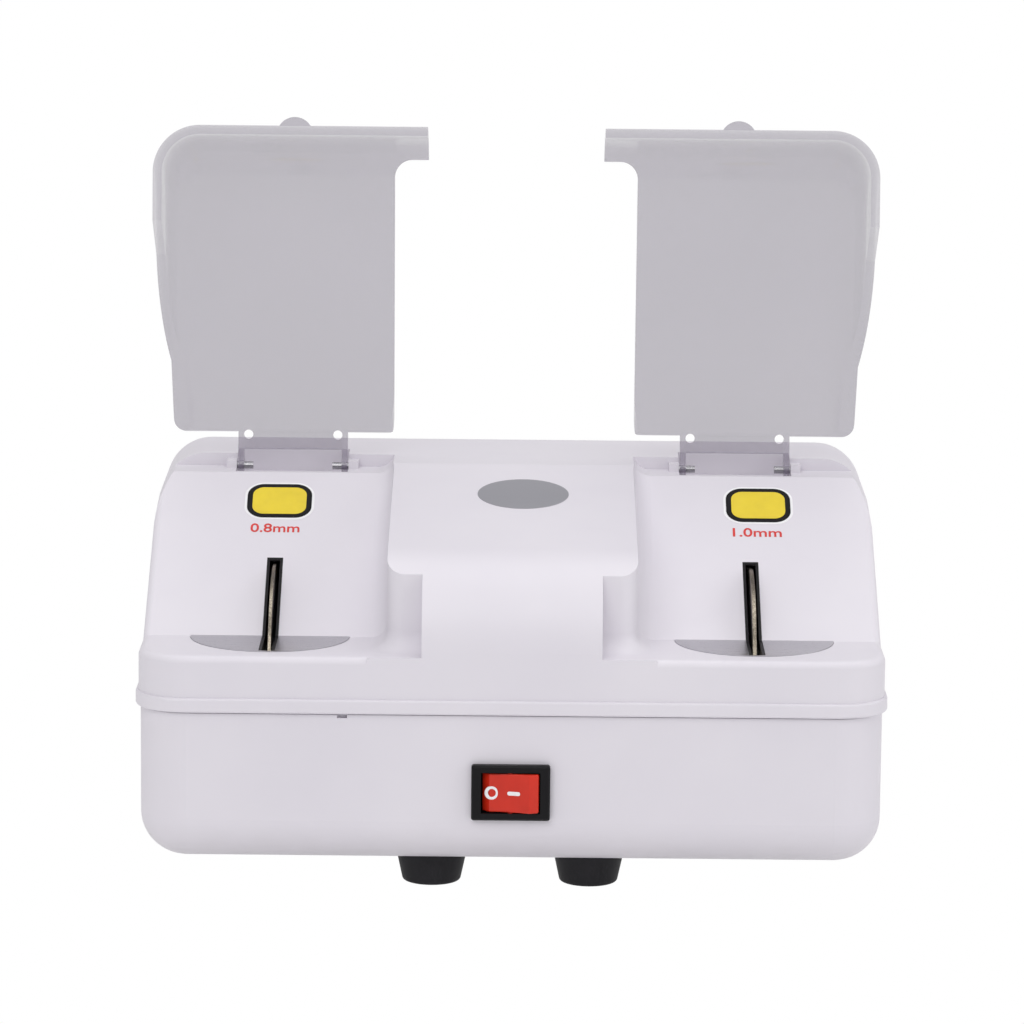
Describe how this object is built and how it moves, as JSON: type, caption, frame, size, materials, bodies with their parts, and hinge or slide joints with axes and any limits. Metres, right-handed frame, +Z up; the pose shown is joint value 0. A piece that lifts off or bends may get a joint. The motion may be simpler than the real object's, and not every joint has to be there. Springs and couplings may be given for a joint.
{
  "type": "lens notching machine",
  "caption": "White bench machine that notches lens edges with thin spinning discs, each under a clear hinged guard, with a red rocker switch in front.",
  "frame": {"origin": "on the table, under the middle of the machine", "axes": "+X to the right as the user sees it, +Y to the back, +Z up; the switch faces -Y"},
  "size_m": [0.2016, 0.1438, 0.2026],
  "materials": {
    "white_abs": "satin moulded white ABS with a faint lilac cast",
    "clear_polycarbonate": "clear moulded polycarbonate with a grey-lilac tint",
    "red_plastic": "glossy moulded red plastic",
    "black_plastic": "matt moulded black plastic",
    "ivory_nylon": "matt nylon",
    "zinc_plated_steel": "bright zinc plate",
    "cast_aluminium": "as cast",
    "motor_enamel": "dark enamel on drawn steel",
    "electrical_steel": "stacked laminations",
    "enamelled_copper": "varnished copper windings",
    "capacitor_can": "drawn aluminium can",
    "fuse_glass": "clear glass tube",
    "brass": "stamped brass",
    "lead_insulation": "blue PVC insulation",
    "black_rubber": "matt moulded rubber",
    "brushed_stainless": "fine brushed stainless steel",
    "ground_steel": "ground steel",
    "grey_abs": "satin moulded off-white ABS",
    "cutting_disc_steel": "steel disc with a gritted rim"
  },
  "bodies": {
    "case": {"base_shell": "white_abs", "capacitor_clip": "zinc_plated_steel", "case_screws": "zinc_plated_steel", "chassis_plate": "zinc_plated_steel", "chassis_screws": "zinc_plated_steel", "foot_screws": "zinc_plated_steel", "foot_washers": "zinc_plated_steel", "front_left_foot": "black_rubber", "front_right_foot": "black_rubber", "fuse_cap": "black_plastic", "fuse_holder": "black_plastic", "glass_fuse": "fuse_glass", "hatch_screws": "zinc_plated_steel", "inlet_contacts": "brass", "inlet_lead": "lead_insulation", "left_bearing": "ground_steel", "left_end_bell": "cast_aluminium", "left_hinge_pins": "ground_steel", "left_rest_plate": "brushed_stainless", "left_slot_liner": "black_plastic", "left_swarf_hatch": "grey_abs", "left_swarf_shroud": "black_plastic", "motor_housing": "motor_enamel", "motor_lead": "lead_insulation", "motor_saddle": "cast_aluminium", "power_inlet": "black_plastic", "rear_left_foot": "black_rubber", "rear_right_foot": "black_rubber", "right_bearing": "ground_steel", "right_end_bell": "cast_aluminium", "right_hinge_pins": "ground_steel", "right_rest_plate": "brushed_stainless", "right_slot_liner": "black_plastic", "right_swarf_hatch": "grey_abs", "right_swarf_shroud": "black_plastic", "run_capacitor": "capacitor_can", "saddle_screws": "zinc_plated_steel", "stator_core": "electrical_steel", "stator_windings": "enamelled_copper", "switch_bezel": "black_plastic", "switch_lead": "lead_insulation", "switch_terminals": "brass", "terminal_block": "ivory_nylon", "terminal_screws": "zinc_plated_steel", "top_cover": "white_abs"},
    "left_guard_body": {"left_guard": "clear_polycarbonate"},
    "right_guard_body": {"right_guard": "clear_polycarbonate"},
    "rocker_body": {"rocker": "red_plastic"},
    "spindle": {"motor_shaft": "ground_steel", "rotor_core": "electrical_steel", "cooling_fan": "black_plastic", "spindle_nuts": "zinc_plated_steel", "left_cutting_disc": "cutting_disc_steel", "left_inner_flange": "ground_steel", "left_outer_flange": "ground_steel", "right_cutting_disc": "cutting_disc_steel", "right_inner_flange": "ground_steel", "right_outer_flange": "ground_steel"}
  },
  "joints": [
    {"name": "left_guard_hinge", "type": "hinge", "parent": "case", "child": "left_guard_body", "pos_m": [-0.0625, 0.027, 0.1015], "axis": [1, 0, 0], "range_deg": [0, 96]},
    {"name": "right_guard_hinge", "type": "hinge", "parent": "case", "child": "right_guard_body", "pos_m": [0.0625, 0.027, 0.1015], "axis": [1, 0, 0], "range_deg": [0, 96]},
    {"name": "rocker_tilt", "type": "hinge", "parent": "case", "child": "rocker_body", "pos_m": [0, -0.069, 0.0295], "axis": [0, 0, 1], "range_deg": [0, 22]},
    {"name": "spindle_spin", "type": "hinge", "parent": "case", "child": "spindle", "pos_m": [0, -0.0185, 0.05], "axis": [1, 0, 0], "continuous": true}
  ]
}
